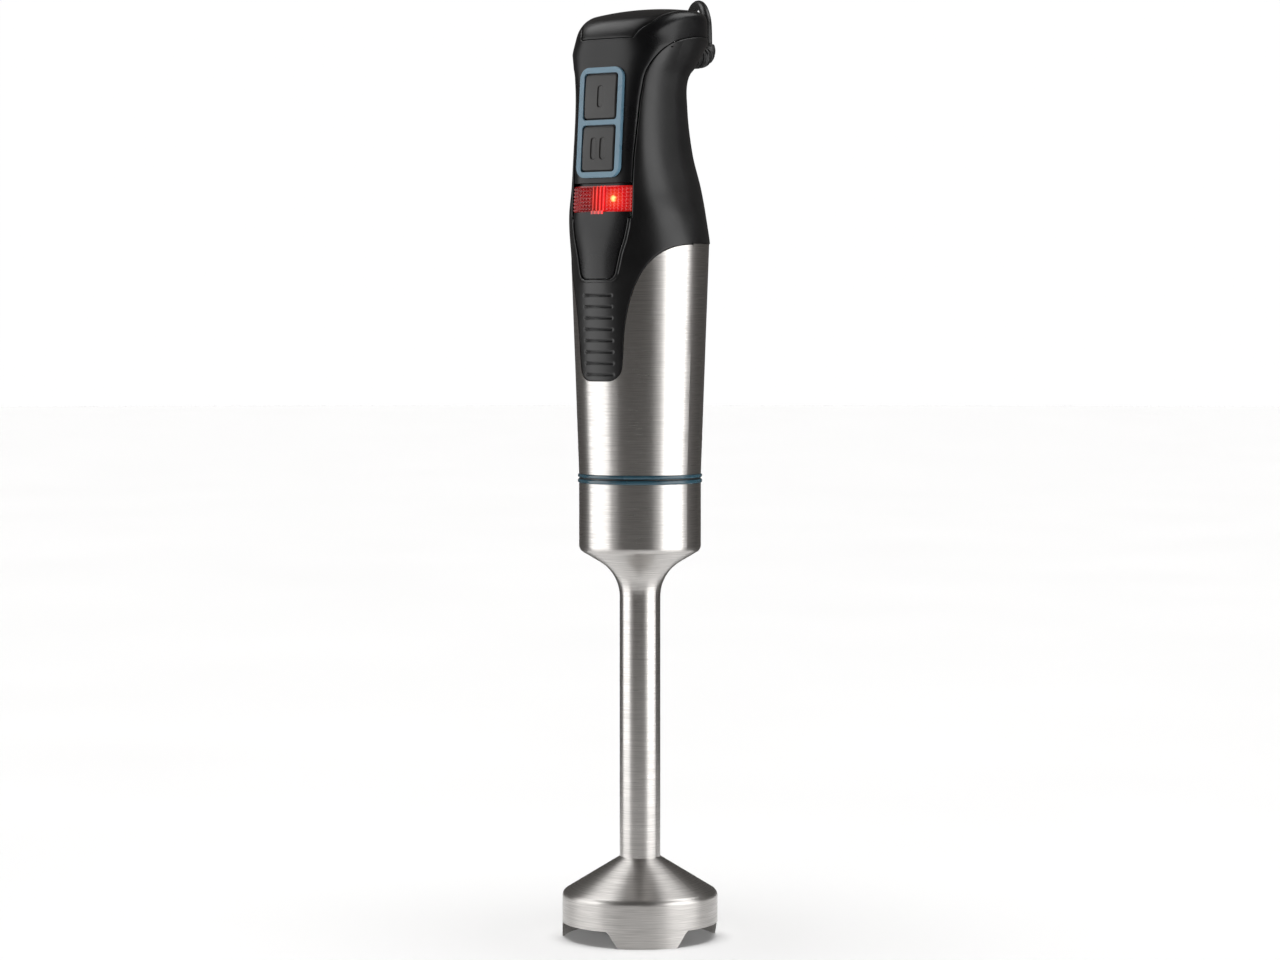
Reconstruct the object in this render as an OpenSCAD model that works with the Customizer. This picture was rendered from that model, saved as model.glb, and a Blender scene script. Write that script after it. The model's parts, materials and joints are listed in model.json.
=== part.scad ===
// Corded immersion blender: a steel blending shaft with a toothed blade guard, locked by a bayonet
// to a motor unit with a two-button handle. Z is up, the origin is on the shaft's axis at the floor,
// and the buttons face -Y. All sizes are in millimetres.

/* [Blade guard] */
// Outer radius of the blade guard
guard_r = 32.5; // [32:0.1:33]
// Height of the guard's straight rim, teeth included
guard_rim_h = 17.6; // [17:0.1:18]
// Height of the gaps between the teeth
tooth_h = 6.8; // [4:0.1:8]
// Number of teeth
tooth_count = 3; // [3:1:3]

/* [Blending shaft] */
// Outer radius of the shaft tube
tube_r = 8.5; // [8.4:0.1:8.6]
// Wall of the pressed steel parts
steel_t = 1; // [0.8:0.1:1]
// Outer radius of the cup that holds the bayonet collar
cup_r = 25.4; // [25.3:0.1:25.5]
// Reach of the knife from the axis
blade_r = 25; // [20:1:27]

/* [Bayonet] */
// Radius of the motor unit's spigot
spigot_r = 19.2; // [19:0.1:19.3]
// Radial clearance between spigot and collar
spigot_gap = 0.3; // [0.2:0.05:0.4]
// Turn that locks the bayonet, in degrees
lock_turn = 30; // [20:1:35]

/* [Handle] */
// Wall of the moulded handle shells
shell_t = 2.2; // [1.8:0.1:2.4]
// Height of the crest of the handle
crest_z = 387.2; // [386.5:0.1:388]
// Corner radius at the sides of the handle's top
crest_round = 4; // [3:0.5:5]

/* [Buttons] */
// Width of the bezel
bezel_w = 22.8; // [22.4:0.2:23.2]
// Height of the bezel along the panel
bezel_h = 45.3; // [44.9:0.1:45.7]
// Border of the bezel
bezel_border = 2.3; // [2.1:0.1:2.5]
// Bar between the two buttons
bezel_bar = 2; // [1.8:0.1:2.2]
// Clearance round each button
button_gap = 0.4; // [0.3:0.05:0.5]

/* [Cord] */
// Diameter of the cord
cord_d = 4; // [3.8:0.1:4]
// Radius of the coil at the middle of its outermost turn
coil_outer = 26.8; // [26.6:0.1:26.9]
// Radius of the coil at the middle of its innermost turn
coil_inner = 17.2; // [17.1:0.1:17.4]

/* [Hidden] */
$fn = 96;

black = "#1b1b1d";
satin_black = "#26262a";
button_grey = "#4d4b49";
steel = "#c9ccce";
teal = "#264857";
bezel_blue = "#6f95a8";
lens_red = "#b3151a";
copper = "#b06a32";
lamination = "#6d7076";
white_plastic = "#dcdcd4";
brass = "#b89b4c";
carbon = "#3a3a3d";
board_green = "#2f6b45";
rubber_black = "#2a2a2a";
tiny = 0.01;
far = 60;

// Levels along the axis
guard_neck_z = 34;
flare_z = 143;
cup_z = 164;
collar_z0 = 166;
collar_z1 = 192.2;
ring_split_z = 192.6;
cup_top_z = 190.6;
ring_r = 25.9;
sleeve_z0 = 194.5;
sleeve_z1 = 289.6;
front_seam_z = 300;
cap_seam_z = 373.6;
lens_z0 = 302.6;
lens_z1 = 313.2;

// ---- Curves -------------------------------------------------------------------------------------

// Cubic curve through the rows of a table whose first column rises; k picks the column
function row_slope(tab, i, k) =
    let(lo = max(i - 1, 0), hi = min(i + 1, len(tab) - 1))
    (tab[hi][k] - tab[lo][k]) / (tab[hi][0] - tab[lo][0]);
function row_below(tab, z, i = 0) = i >= len(tab) - 2 || z < tab[i + 1][0] ? i : row_below(tab, z, i + 1);
function through(tab, z, k) =
    let(i = row_below(tab, z), h = tab[i + 1][0] - tab[i][0])
    let(t = min(max((z - tab[i][0]) / h, 0), 1), t2 = t * t, t3 = t2 * t)
    (2 * t3 - 3 * t2 + 1) * tab[i][k] + (t3 - 2 * t2 + t) * h * row_slope(tab, i, k)
    + (3 * t2 - 2 * t3) * tab[i + 1][k] + (t3 - t2) * h * row_slope(tab, i + 1, k);

// Bezier curve of four points
function bezier(p, t) =
    pow(1 - t, 3) * p[0] + 3 * t * pow(1 - t, 2) * p[1] + 3 * t * t * (1 - t) * p[2] + pow(t, 3) * p[3];
function bezier_points(p, n) = [for (i = [0:n]) bezier(p, i / n)];

// Smooth line through hand-chosen points, with n steps between neighbours
function mid_slope(p, i) = (p[min(i + 1, len(p) - 1)] - p[max(i - 1, 0)]) / 2;
function smooth_step(p, i, t) =
    let(t2 = t * t, t3 = t2 * t)
    (2 * t3 - 3 * t2 + 1) * p[i] + (t3 - 2 * t2 + t) * mid_slope(p, i)
    + (3 * t2 - 2 * t3) * p[i + 1] + (t3 - t2) * mid_slope(p, i + 1);
function smooth(p, n) = [
    for (i = [0:len(p) - 2]) for (k = [0:n - 1]) smooth_step(p, i, k / n),
    p[len(p) - 1]
];

function arc(cx, cy, r, a0, a1, n = 12) =
    [for (i = [0:n]) let(a = a0 + (a1 - a0) * i / n) [cx + r * cos(a), cy + r * sin(a)]];
function mirrored(p) = concat(p, [for (i = [len(p) - 1:-1:0]) [-p[i][0], p[i][1]]]);

// ---- The handle's body form ---------------------------------------------------------------------

// Outer radius of the motor sleeve: height, radius
sleeve_profile = [[194, 25.4], [227, 26.55], [263, 27.85], [290, 28.8]];
function sleeve_r(z) = through(sleeve_profile, z, 1);

// Sections of the handle: height, back, front, half width, squareness of the front
sections = [
    [231, sleeve_r(231), -sleeve_r(231), sleeve_r(231), 2],
    [263, sleeve_r(263), -sleeve_r(263), sleeve_r(263), 2],
    [285, sleeve_r(285), -sleeve_r(285), sleeve_r(285), 2],
    [301, 26.7, -27.6, 26.8, 2.6],
    [313, 26.3, -26.8, 23.4, 3.2],
    [327, 22.1, -25.8, 21.2, 3.8],
    [346, 18.5, -24.4, 20.5, 4],
    [359, 18.2, -23.5, 21.8, 4],
    [368, 27.5, -22.9, 25.6, 3.6],
    [376.5, 29.1, -22, 24.6, 3.2],
    [389, 27.5, -21, 25.2, 3]
];
back_squareness = 2.2;
around = 56;

function signed_pow(v, e) = sign(v) * pow(abs(v), e);
function section_point(z, a, inset) =
    let(yb = through(sections, z, 1) - inset, yf = through(sections, z, 2) + inset)
    let(half = through(sections, z, 3) - inset)
    let(e = 2 / (sin(a) < 0 ? through(sections, z, 4) : back_squareness))
    [half * signed_pow(cos(a), e), (yb + yf) / 2 + (yb - yf) / 2 * signed_pow(sin(a), e)];

// Height of the crest surface over a point, and the point of the dome h below it
crest_y = 7.5;
crest_bend = 104;
crest_crown = 320;
dome_mid_z = 376;
// The corner is rounder at the front than at the back
round_tilt = 2.4;
function top_z(p) = crest_z - pow(p[1] - crest_y, 2) / crest_bend - p[0] * p[0] / crest_crown;
function dome_point(a, h, inset) =
    let(guess = top_z(section_point(dome_mid_z, a, inset)) - h - inset)
    let(r = crest_round - round_tilt * sin(a), round_in = h < r ? r - sqrt(r * r - (r - h) * (r - h)) : 0)
    let(p = section_point(guess, a, inset + round_in))
    [p[0], p[1], top_z(p) - h - inset];
function crest_point(a, share, inset) =
    let(edge = dome_point(a, 0, inset), middle = [0, 4])
    let(p = middle + share * ([edge[0], edge[1]] - middle))
    [p[0], p[1], top_z(p) - inset];

dome_start_z = 362;
dome_steps = [11, 8, 5.5, 3.8, 2.4, 1.2, 0.4, 0];
crest_shares = [0.8, 0.55, 0.28];
function ring_angles() = [for (k = [0:around - 1]) 360 * (k + 0.5) / around];
function body_rings(z0, inset) = concat(
    [for (z = [z0:(dome_start_z - z0) / round((dome_start_z - z0) / 5):dome_start_z + tiny])
        [for (a = ring_angles()) let(p = section_point(z, a, inset)) [p[0], p[1], z]]],
    [for (h = dome_steps) [for (a = ring_angles()) dome_point(a, h, inset)]],
    [for (s = crest_shares) [for (a = ring_angles()) crest_point(a, s, inset)]]
);

// Closed solid through a stack of rings that all have the same number of points
function ring_faces(n, m) = concat(
    [[for (k = [0:n - 1]) k]],
    [for (i = [0:m - 2]) for (k = [0:n - 1]) let(j = (k + 1) % n)
        each [[i * n + k, (i + 1) * n + k, (i + 1) * n + j], [i * n + k, (i + 1) * n + j, i * n + j]]],
    [[for (k = [n - 1:-1:0]) (m - 1) * n + k]]
);
module stack(rings) {
    n = len(rings[0]);
    polyhedron(points = [for (r = rings) each r], faces = ring_faces(n, len(rings)), convexity = 6);
}
module body_form(inset, z0 = 231) {
    stack(body_rings(z0, inset));
}
// The children as one plain mesh
module as_mesh() {
    resize([0, 0, 0]) children();
}

// Everything above the steel sleeve's scalloped edge
chin_z0 = 233;
chin_half = 11.7;
chin_corner = 6.5;
chin_outline = concat(
    [[0, chin_z0]],
    arc(chin_half - 0.5 - chin_corner, chin_z0 + chin_corner, chin_corner, -90, 0, 8),
    bezier_points([[chin_half, 244], [12.2, 262], [17.5, 284], [29.5, sleeve_z1]], 14),
    [[far, sleeve_z1], [far, 420]]
);
module above_sleeve(grow = 0) {
    rotate([90, 0, 0]) linear_extrude(far) offset(delta = grow) polygon(mirrored(chin_outline));
    translate([-far, -1, sleeve_z1 - grow]) cube([2 * far, far + 1, 140]);
}

// Everything in front of the seam between the front shell and the grip
seam_points = [
    [-25, 288], [-24.6, 302], [-23.9, 315], [-23.2, 325], [-22.4, 332], [-21.3, 341], [-20.6, 348],
    [-19.9, 353], [-19.2, 359], [-17.4, 364], [-13.5, 368.6], [-6.6, 372.2], [5, 374.6],
    [19.5, 375.4], [38, 375.4]
];
tongue_outline = concat(
    arc(6, 278.2, 3.2, -90, -12, 6),
    [[11.1, 286], [12.9, 291.5], [14.1, 297], [14.5, 302]]
);
module before_seam() {
    intersection() {
        rotate([90, 0, 90]) translate([0, 0, -far]) linear_extrude(2 * far)
            polygon(concat(smooth(seam_points, 3), [[38, 420], [-far, 420], [-far, 288]]));
        translate([-far, -far, front_seam_z]) cube([2 * far, 2 * far, 140]);
    }
    rotate([90, 0, 0]) linear_extrude(far) polygon(mirrored(tongue_outline));
}

// The part of the crest that the top cap fills
cap_outline = [[14, -far], [14, -20.8], [19.2, -14], [20.8, -4], [20.8, 8], [15, 20.5]];
module under_cap() {
    translate([0, 0, cap_seam_z]) linear_extrude(far) polygon(mirrored(cap_outline));
}

// ---- The button panel ---------------------------------------------------------------------------

panel_z = 339.1;
panel_y = -24.9;
panel_tilt = 4.1;
button_w = bezel_w - 2 * bezel_border;
button_h = (bezel_h - 2 * bezel_border - bezel_bar) / 2;
button_mid = (button_h + bezel_bar) / 2;
board_y = 12;
bezel_corner = 4.5;

// Places children in the panel's frame: X across, Y inward, Z up the panel
module on_panel() {
    translate([0, panel_y, panel_z]) rotate([-panel_tilt, 0, 0]) children();
}
module rounded_plate(w, h, r, y0, y1) {
    translate([0, y1, 0]) rotate([90, 0, 0]) linear_extrude(y1 - y0) union() {
        square([w - 2 * r, h], center = true);
        square([w, h - 2 * r], center = true);
        for (sx = [-1, 1], sz = [-1, 1]) translate([sx * (w / 2 - r), sz * (h / 2 - r)]) circle(r, $fn = 32);
    }
}
module push_button(mid) {
    on_panel() translate([0, 0, mid]) {
        rounded_plate(button_w - 2 * button_gap, button_h - 2 * button_gap, 1.4, -1.5, 3.4);
        translate([0, 3.3, 0]) rotate([-90, 0, 0]) cylinder(r = 2, h = 2.4, $fn = 32);
    }
}

// ---- Blending shaft -----------------------------------------------------------------------------

function tube_outline(inset) =
    let(bend = 17, slope_end = 61)
    let(flare = arc(tube_r + bend, flare_z, bend + inset, 180, 180 - slope_end, 12))
    let(lip = arc(cup_r - 3.2, cup_z + 0.5, 3.2 - inset, -61, 0, 8))
    concat([[tube_r - inset, guard_neck_z]], flare, lip, [[cup_r - inset, cup_top_z]]);

module shaft_tube() {
    color(steel) rotate_extrude() polygon(concat(
        tube_outline(0),
        [for (i = [len(tube_outline(steel_t)) - 1:-1:0]) tube_outline(steel_t)[i]]
    ));
}

guard_shoulder = 3;
guard_slope = 31.5;
function guard_outline(inset) =
    let(r = guard_shoulder - inset, c = [guard_r - guard_shoulder, guard_rim_h])
    concat([[guard_r - inset, 0]], arc(c[0], c[1], r, 0, 90 - guard_slope, 8),
        [[tube_r + 0.1 + inset * 0.2, guard_neck_z - inset * 1.2]]);
module tooth_gaps() {
    half_low = 19.8;
    half_high = 15.4;
    for (k = [0:tooth_count - 1]) rotate([0, 0, 16 + 120 * k]) translate([guard_r - 12, 0, 0])
        rotate([90, 0, 90]) linear_extrude(20)
            polygon([
                [-half_low - 1.3, -2], [half_low + 1.3, -2], [half_high + 1.2, tooth_h - 1.2],
                [half_high, tooth_h], [-half_high, tooth_h], [-half_high - 1.2, tooth_h - 1.2]
            ]);
}
module blade_guard() {
    color(steel) difference() {
        union() {
            rotate_extrude() polygon(concat(
                guard_outline(0), [[6.2, guard_neck_z]],
                [[6.2, guard_neck_z - 3.2]],
                [for (i = [len(guard_outline(steel_t)) - 2:-1:0]) guard_outline(steel_t)[i]]
            ));
            translate([0, 0, guard_neck_z - 0.5]) difference() {
                cylinder(r = tube_r - steel_t - 0.05, h = 8.5);
                translate([0, 0, -1]) cylinder(r = 6.2, h = 11);
            }
        }
        tooth_gaps();
    }
}

module ring_profile(z0, z1, r_in, r_out, round_r) {
    rotate_extrude() polygon(concat(
        [[r_in, z0]], arc(r_out - round_r, z0 + round_r, round_r, -90, 0, 6),
        arc(r_out - round_r, z1 - round_r, round_r, 0, 90, 6), [[r_in, z1]]
    ));
}
module shaft_ring() {
    color(teal) ring_profile(cup_top_z + 0.05, ring_split_z - 0.25, cup_r - steel_t + 0.05, ring_r, 0.7);
}

// One sector of a tube, used for lugs, slots and dogs
module sector(r0, r1, z0, z1, mid, width) {
    rotate([0, 0, mid - width / 2]) rotate_extrude(angle = width)
        translate([r0, z0]) square([r1 - r0, z1 - z0]);
}
lug_r = spigot_r + 2.4;
lug_half = 9;
lug_z0 = 174.6;
lug_z1 = 178.4;
slot_play = 0.5;
slot_w = 2 * lug_half + 4;
module shaft_collar() {
    color(black) difference() {
        translate([0, 0, collar_z0]) cylinder(r = cup_r - steel_t - 0.1, h = collar_z1 - collar_z0);
        translate([0, 0, collar_z0 + 2.4]) cylinder(r = spigot_r + spigot_gap, h = 40);
        translate([0, 0, collar_z0 - 1]) cylinder(r = 9.5, h = 10);
        for (side = [0, 180]) {
            sector(spigot_r - 1, lug_r + slot_play, lug_z0 - slot_play, collar_z1 + 1, side, slot_w);
            sector(spigot_r - 1, lug_r + slot_play, lug_z0 - slot_play, lug_z1 + slot_play,
                side + lock_turn / 2, slot_w + lock_turn);
        }
    }
}

drive_shaft_r = 3;
run_gap = 0.05;
module plain_bush(z, h, r, bore) {
    translate([0, 0, z]) difference() {
        cylinder(r = r, h = h);
        translate([0, 0, -1]) cylinder(r = bore, h = h + 2);
    }
}
module upper_bush() {
    color(brass) plain_bush(124, 14, tube_r - steel_t - 0.05, drive_shaft_r + run_gap);
}
module lower_bush() {
    color(brass) plain_bush(44, 14, tube_r - steel_t - 0.05, drive_shaft_r + run_gap);
}
module shaft_seal() {
    color(rubber_black) plain_bush(35, 6, 6.15, drive_shaft_r + run_gap);
}
module coupling_seal() {
    color(rubber_black) plain_bush(ring_split_z - 0.2, 0.5, 25.3, spigot_r + 0.3);
}

// ---- Blade drive --------------------------------------------------------------------------------

module drive_shaft() {
    color(steel) translate([0, 0, 10]) cylinder(r = drive_shaft_r, h = 166);
}
dog_half = 20;
module driven_coupling() {
    color(white_plastic) {
        plain_bush(169, 9, 8, drive_shaft_r + 0.02);
        for (side = [90, 270]) sector(4.6, 7.9, 177, 185, side, 2 * dog_half);
    }
}
module thrust_washer() {
    color(brass) plain_bush(138.3, 1, 6, drive_shaft_r + 0.02);
}
wing_tip = blade_r - 4;
module blade() {
    color(steel) difference() {
        union() {
            translate([0, 0, 12.4]) linear_extrude(1.2) union() {
                circle(6.5);
                square([18, 9], center = true);
            }
            for (side = [0, 180]) rotate([0, 0, side]) translate([8, 0, 12.4])
                rotate([12, side == 0 ? 9 : -9, 0]) linear_extrude(1.2) polygon([
                    [0, -4.5], [wing_tip - 8, -3.2], [wing_tip - 4, 0.4], [wing_tip - 9, 3.8], [0, 4.5]
                ]);
        }
        translate([0, 0, 5]) cylinder(r = drive_shaft_r + 0.02, h = 20);
    }
}
module blade_hub() {
    color(steel) {
        plain_bush(14, 10, 5, drive_shaft_r + 0.02);
        plain_bush(9.6, 2.6, 5.2, drive_shaft_r + 0.02);
    }
}

// ---- Motor unit: coupling end -------------------------------------------------------------------

flange_z1 = 198;
motor_shaft_r = 4;
module coupling_spigot() {
    color(black) difference() {
        union() {
            translate([0, 0, 172]) cylinder(r = spigot_r, h = 20);
            translate([0, 0, ring_split_z + 0.4]) cylinder(r = 24.05, h = flange_z1 - ring_split_z - 0.4);
            for (side = [0, 180]) sector(spigot_r - 1, lug_r, lug_z0, lug_z1, side, 2 * lug_half);
        }
        translate([0, 0, 171]) cylinder(r = 16.4, h = 20.4);
        translate([0, 0, 171]) cylinder(r = motor_shaft_r + 1, h = 40);
        translate([0, 0, flange_z1 - 3]) difference() {
            cylinder(r = 21.5, h = 4);
            translate([0, 0, -1]) cylinder(r = 8, h = 6);
        }
    }
}
module housing_ring() {
    color(teal) ring_profile(ring_split_z + 0.3, sleeve_z0 - 0.05, 24.1, ring_r, 0.7);
}
module motor_housing() {
    levels = [sleeve_z0, 210, 227, 245, 263, 276, sleeve_z1];
    sleeve_t = 0.8;
    color(steel) difference() {
        rotate_extrude() polygon(concat(
            [for (z = levels) [sleeve_r(z), z]],
            [for (i = [len(levels) - 1:-1:0]) [sleeve_r(levels[i]) - sleeve_t, levels[i]]]
        ));
        rotate([90, 0, 0]) linear_extrude(far) polygon(mirrored(chin_outline));
    }
}

// ---- Handle shells ------------------------------------------------------------------------------

rib_zs = [for (i = [0:7]) 268.4 - 4.65 * i];
boot_z = 369;
module chin_ribs() {
    rib_half = 7.7;
    for (z = rib_zs) translate([-rib_half, -far, z - 0.6]) cube([2 * rib_half, far - sleeve_r(z) + 0.7, 1.2]);
}
module bezel_hole() {
    play = 0.25;
    on_panel() rounded_plate(bezel_w + 2 * play, bezel_h + 2 * play, bezel_corner + play, -10, 10);
}
module handle_grip() {
    color(black) as_mesh() difference() {
        intersection() {
            difference() {
                body_form(0);
                body_form(shell_t, 225);
            }
            above_sleeve();
        }
        before_seam();
        bezel_hole();
        chin_ribs();
        translate([0, 15, boot_z]) rotate([-90, 0, 0]) cylinder(r = 5.5, h = 30, $fn = 32);
    }
}
// Outline of the lens seen from the front, with a tab at the middle of its lower edge
tab_half = 3.4;
tab_z0 = 301.7;
module lens_band(gap) {
    translate([-far, -far, lens_z0 + gap]) cube([2 * far, far, lens_z1 - lens_z0 - 2 * gap]);
    translate([-tab_half + gap, -far, tab_z0 + gap]) cube([2 * tab_half - 2 * gap, far, 3]);
}
// The shell's opening, with a shadow gap over the lens
module lens_slot() {
    lens_band(0);
    translate([-far, -far, lens_z1 - 1]) cube([2 * far, far, 2.1]);
}
led_xs = [-7.6, 0, 7.6];
led_z = (lens_z0 + lens_z1) / 2;
module front_shell() {
    color(satin_black) as_mesh() difference() {
        intersection() {
            difference() {
                body_form(0);
                body_form(shell_t, 225);
            }
            before_seam();
        }
        under_cap();
        bezel_hole();
        intersection() {
            lens_slot();
            difference() {
                body_form(-1, 240);
                body_form(1.5, 230);
            }
        }
        for (x = led_xs) translate([x, -40, led_z]) rotate([-90, 0, 0]) cylinder(r = 1.7, h = 30, $fn = 24);
    }
}
module top_cap() {
    color(satin_black) as_mesh() intersection() {
        difference() {
            body_form(0, 350);
            body_form(shell_t, 345);
        }
        before_seam();
        under_cap();
    }
}
module indicator_lens() {
    color(lens_red) as_mesh() intersection() {
        difference() {
            body_form(0.25, 240);
            body_form(1.45, 230);
        }
        before_seam();
        lens_band(0.05);
    }
}
module button_bezel() {
    color(bezel_blue) on_panel() difference() {
        rounded_plate(bezel_w, bezel_h, bezel_corner, -1.1, 3);
        for (side = [-1, 1]) translate([0, 0, side * button_mid])
            rounded_plate(button_w, button_h, 1.5, -5, 5);
    }
}
module speed_button() {
    color(button_grey) push_button(button_mid);
}
module turbo_button() {
    color(button_grey) push_button(-button_mid);
}
module indicator_leds() {
    color(lens_red) for (x = led_xs) translate([x, panel_y, led_z]) rotate([-90, 0, 0])
        cylinder(r = 1.5, h = 8.6, $fn = 24);
}
module switch_board() {
    color(board_green) on_panel() translate([-11.5, board_y, -38]) cube([23, 1.6, 64]);
}
module microswitches() {
    color(black) on_panel() for (side = [-1, 1]) translate([0, 0, side * button_mid]) {
        translate([-4, board_y - 4, -3]) cube([8, 3.95, 6]);
        translate([0, board_y - 4.2, 0]) rotate([-90, 0, 0]) cylinder(r = 1.4, h = 0.4, $fn = 24);
    }
}

// ---- Motor --------------------------------------------------------------------------------------

stack_z0 = 222;
stack_z1 = 258;
bolt_y = 20.2;
stack_mid = (stack_z0 + stack_z1) / 2;
coil_x = 14.6;
brush_z = 268.5;
module bolt_holes(z0, h) {
    for (side = [-1, 1]) translate([0, side * bolt_y, z0]) cylinder(r = 1.6, h = h, $fn = 32);
}
module stator_core() {
    color(lamination) difference() {
        intersection() {
            translate([0, 0, stack_z0]) cylinder(r = 22.6, h = stack_z1 - stack_z0);
            translate([-19.5, -23, stack_z0 - 1]) cube([39, 46, stack_z1 - stack_z0 + 2]);
        }
        translate([0, 0, stack_z0 - 1]) cylinder(r = 13.2, h = 60);
        for (side = [-1, 1]) translate([side * coil_x, 0, stack_z0 + 17]) cube([5.4, 29, 60], center = true);
        bolt_holes(stack_z0 - 1, 60);
    }
}
module field_coils() {
    color(copper) for (side = [-1, 1]) difference() {
        translate([side * coil_x, 0, stack_mid]) cube([5, 28.6, stack_z1 - stack_z0 + 10], center = true);
        translate([0, 0, stack_z0 - 10]) cylinder(r = 13.4, h = 80);
        translate([side * coil_x, 0, stack_mid]) cube([8, 12, stack_z1 - stack_z0], center = true);
    }
}
module motor_bracket(z, h, boss_z, boss_h) {
    difference() {
        union() {
            intersection() {
                translate([0, 0, z]) cylinder(r = 22.8, h = h);
                translate([-9, -23, z - 1]) cube([18, 46, h + 2]);
            }
            translate([0, 0, boss_z]) cylinder(r = 9.8, h = boss_h);
        }
        translate([0, 0, z - 10]) cylinder(r = 8.05, h = 30);
        bolt_holes(z - 5, h + 10);
    }
}
module lower_bracket() {
    color(white_plastic) {
        motor_bracket(203, 3, 203, 5);
    }
}
module upper_bracket() {
    color(white_plastic) motor_bracket(277, 3, 276, 6);
}
module motor_screws() {
    color(steel) for (side = [-1, 1]) translate([0, side * bolt_y, 203.2]) {
        cylinder(r = 1.5, h = 78, $fn = 32);
        translate([0, 0, 77]) cylinder(r = 2.6, h = 1.8, $fn = 32);
    }
}
module brush_holders() {
    color(brass) for (side = [-1, 1]) difference() {
        translate([side * 14, 0, brush_z]) cube([10, 7, 8], center = true);
        translate([side * 14, 0, brush_z]) cube([12, 5, 6], center = true);
    }
}
module brushes() {
    color(carbon) for (side = [-1, 1]) translate([side * 12.6, 0, brush_z])
        cube([9.6, 4.9, 5.9], center = true);
}
module lower_bearing() {
    color(steel) plain_bush(203, 5, 8, motor_shaft_r + run_gap);
}
module upper_bearing() {
    color(steel) plain_bush(277, 5, 8, motor_shaft_r + run_gap);
}
module motor_mounts() {
    color(rubber_black) {
        plain_bush(219, 3, 25, 22.7);
        plain_bush(258, 3, 25.4, 22.7);
    }
}
module motor_shaft() {
    color(steel) translate([0, 0, 184]) cylinder(r = motor_shaft_r, h = 100);
}
module armature_core() {
    slots = 12;
    color(lamination) difference() {
        plain_bush(stack_z0 + 1, stack_z1 - stack_z0 - 2, 12.6, motor_shaft_r + 0.02);
        for (k = [0:slots - 1]) rotate([0, 0, 360 / slots * k]) translate([10.6, 0, stack_z0 - 5])
            cylinder(r = 1.3, h = 60, $fn = 16);
    }
}
module armature_windings() {
    color(copper) for (z = [stack_z0 - 5, stack_z1 - 0.9]) plain_bush(z, 5.9, 11.6, motor_shaft_r + 0.02);
}
module commutator() {
    bars = 12;
    color(copper) difference() {
        plain_bush(264, 9, 7.6, motor_shaft_r + 0.02);
        for (k = [0:bars - 1]) rotate([0, 0, 360 / bars * k]) translate([7.1, -0.2, 263]) cube([2, 0.4, 11]);
    }
}
module cooling_fan() {
    blades = 9;
    color(white_plastic) {
        plain_bush(209.5, 1.4, 18.2, motor_shaft_r + 0.02);
        plain_bush(210.8, 5, 6.4, motor_shaft_r + 0.02);
        for (k = [0:blades - 1]) rotate([0, 0, 360 / blades * k])
            translate([6, -0.5, 210.8]) cube([12, 1, 4.6]);
    }
}
module drive_coupling() {
    color(white_plastic) {
        plain_bush(185.6, 4.6, 8, motor_shaft_r + 0.02);
        for (side = [0, 180]) sector(4.6, 7.9, 178.6, 188, side, 2 * dog_half);
    }
}

// ---- Cord ---------------------------------------------------------------------------------------

// The spare cord lies on the line that leaves the axis at this angle
store_turn = 130;
function stored(p) = [
    cos(store_turn) * p[0] - sin(store_turn) * p[1], sin(store_turn) * p[0] + cos(store_turn) * p[1], p[2]
];
coil_mid = 62.3;
layer_z = [2.6, 6.6];
function turned(a, r) = r * [cos(a), sin(a)];
function by_coil(p, z) = stored([coil_mid + p[0], p[1], z]);

function unit(v) = v / norm(v);
function tangent(p, i) = unit(p[min(i + 1, len(p) - 1)] - p[max(i - 1, 0)]);
side_hint = [0.766, 0.643, 0];
function tube_ring(p, i, r, n) =
    let(t = tangent(p, i), u = unit(cross(t, side_hint)), v = cross(t, u))
    [for (k = [0:n - 1]) p[i] + r * (cos(360 * k / n) * u + sin(360 * k / n) * v)];
module tube(p, radii, n) {
    stack([for (i = [0:len(p) - 1]) tube_ring(p, i, is_list(radii) ? radii[i] : radii, n)]);
}

// Centre line of the boot, and its radius at each point
boot_line = [
    [0, 17, 369], [0, 25, 369], [0, 31, 369], [0, 36, 369.1], [0, 40, 369.5], [0, 42.7, 370.7],
    [0, 44.2, 372.7], [0, 44.6, 375]
];
boot_radii = [5.2, 5.2, 5.1, 4.9, 4.7, 4.3, 3.7, 2.9];
module strain_relief() {
    color(rubber_black) {
        tube(boot_line, boot_radii, 20);
        translate([0, 14.8, boot_z]) rotate([-90, 0, 0]) cylinder(r = 6, h = 2.4, $fn = 32);
    }
}

// Route of the cord from the boot's tip, over an arch and down to the coil's top layer
landing_turn = 40;
cord_route = [
    [0, 44.6, 375], [-2, 46.5, 385], [-7, 50, 391], [-13.5, 54.5, 393], [-20, 59, 391],
    [-25, 62.5, 385], [-27, 64, 377], [-29, 62.5, 363], [-30.5, 60.5, 350], [-34, 57, 325],
    [-39, 55, 290], [-44.5, 56, 245], [-49, 59, 200], [-53, 63, 150], [-57.5, 66.5, 100],
    [-61, 69.5, 62], [-61.5, 70.5, 44], [-62, 70.5, 34], [-62, 70.5, 24.5], [-62.5, 69.5, 19],
    [-63.5, 67, 14], [-64.5, 63, 10], [-65.5, 58, 7.5],
    by_coil(turned(landing_turn, coil_outer), layer_z[1])
];
module power_cord() {
    color(black) tube(smooth(cord_route, 2), cord_d / 2, 8);
}

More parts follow.
